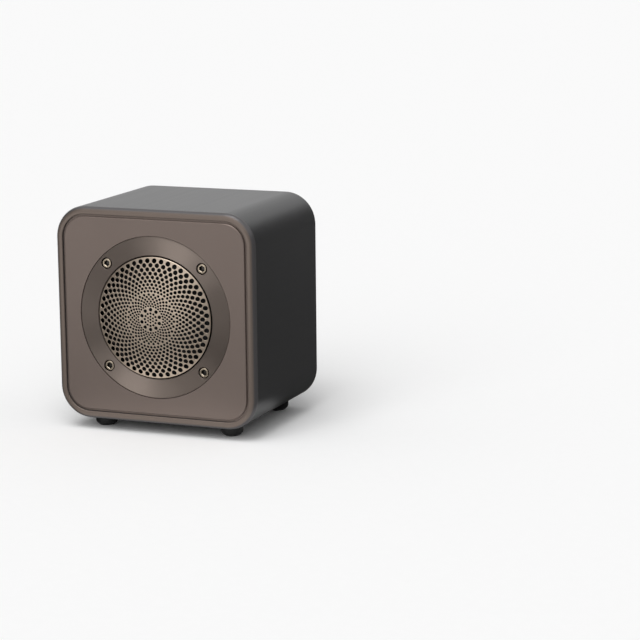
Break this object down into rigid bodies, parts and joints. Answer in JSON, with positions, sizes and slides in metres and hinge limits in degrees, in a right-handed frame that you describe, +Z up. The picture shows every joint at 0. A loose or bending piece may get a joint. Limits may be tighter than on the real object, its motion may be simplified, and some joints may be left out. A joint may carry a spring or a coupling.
{
  "type": "portable wireless speaker",
  "caption": "Cube-like portable speaker: rounded sleeve cabinet, inlaid front panel, turned ring and domed perforated grille over a full-range driver, with rear controls and rubber feet.",
  "frame": {"origin": "on the floor under the middle of the whole object, domed grille included", "axes": "+Z up, -Y out of the front grille, +X to the right of someone who faces the front"},
  "size_m": [0.12, 0.0948, 0.1264],
  "materials": {
    "cabinet_aluminium": "extruded aluminium, satin charcoal anodised",
    "bezel_paint": "moulded ABS with a bronze-grey metallic paint",
    "panel_aluminium": "bronze-grey anodised, fine matt grain",
    "ring_aluminium": "bronze-grey anodised, lathe turned in circles",
    "grille_aluminium": "champagne anodised perforated sheet",
    "screw_steel": "plain steel socket screws",
    "foot_rubber": "black moulded rubber",
    "rear_plastic": "black moulded ABS, fine spark texture",
    "inner_plastic": "black moulded plastic",
    "plug_plastic": "natural nylon",
    "light_clear": "clear polycarbonate",
    "socket_steel": "drawn stainless shell",
    "basket_steel": "pressed steel with black coating",
    "motor_steel": "zinc-plated steel",
    "magnet_ferrite": "sintered ferrite",
    "cone_paper": "black pressed paper",
    "spider_cloth": "resin-stiffened cloth",
    "coil_copper": "enamelled copper",
    "former_film": "polyimide film",
    "foam_black": "soft open-cell foam",
    "tag_brass": "tinned brass sheet",
    "board_laminate": "glass-fibre laminate with green mask",
    "can_aluminium": "drawn cans",
    "cell_wrap": null,
    "lead_insulation": "soft lead insulation"
  },
  "bodies": {
    "housing": {"amplifier_chip": "inner_plastic", "baffle_screws": "screw_steel", "battery_cell_front": "cell_wrap", "battery_cell_rear": "cell_wrap", "battery_contacts": "tag_brass", "battery_holder": "inner_plastic", "battery_leads": "lead_insulation", "battery_pad": "foam_black", "battery_plug": "plug_plastic", "cabinet": "cabinet_aluminium", "capacitors": "can_aluminium", "charge_socket": "socket_steel", "damping_foam": "foam_black", "driver_basket": "basket_steel", "driver_gasket": "foam_black", "filter_coils": "inner_plastic", "foot_front_left": "foot_rubber", "foot_front_right": "foot_rubber", "foot_rear_left": "foot_rubber", "foot_rear_right": "foot_rubber", "front_bezel": "bezel_paint", "front_panel": "panel_aluminium", "front_screws": "screw_steel", "grille": "grille_aluminium", "magnet": "magnet_ferrite", "main_board": "board_laminate", "radio_module": "socket_steel", "rear_panel": "rear_plastic", "rear_screws": "screw_steel", "speaker_leads": "lead_insulation", "speaker_plug": "plug_plastic", "spider": "spider_cloth", "status_lamp": "light_clear", "status_light": "light_clear", "surround": "foot_rubber", "tact_switches": "inner_plastic", "terminal_strip": "inner_plastic", "terminal_tags": "tag_brass", "top_plate": "motor_steel", "trim_ring": "ring_aluminium", "yoke": "motor_steel"},
    "diaphragm": {"cone": "cone_paper", "dust_cap": "cone_paper", "coil_former": "former_film", "coil_winding": "coil_copper"},
    "power_key": {"power_button": "rear_plastic", "power_plunger": "inner_plastic"},
    "volume_down_key": {"volume_down_button": "rear_plastic", "volume_down_plunger": "inner_plastic"},
    "volume_up_key": {"volume_up_button": "rear_plastic", "volume_up_plunger": "inner_plastic"}
  },
  "joints": [
    {"name": "cone_travel", "type": "slide", "parent": "housing", "child": "diaphragm", "axis": [0, -1, 0], "range_m": [-0.002, 0.002], "stiffness_N_per_m": 1200, "deforming": ["surround", "spider"]},
    {"name": "power_press", "type": "slide", "parent": "housing", "child": "power_key", "axis": [0, -1, 0], "range_m": [0, 0.00025], "stiffness_N_per_m": 3000},
    {"name": "volume_down_press", "type": "slide", "parent": "housing", "child": "volume_down_key", "axis": [0, -1, 0], "range_m": [0, 0.00025], "stiffness_N_per_m": 3000},
    {"name": "volume_up_press", "type": "slide", "parent": "housing", "child": "volume_up_key", "axis": [0, -1, 0], "range_m": [0, 0.00025], "stiffness_N_per_m": 3000}
  ]
}
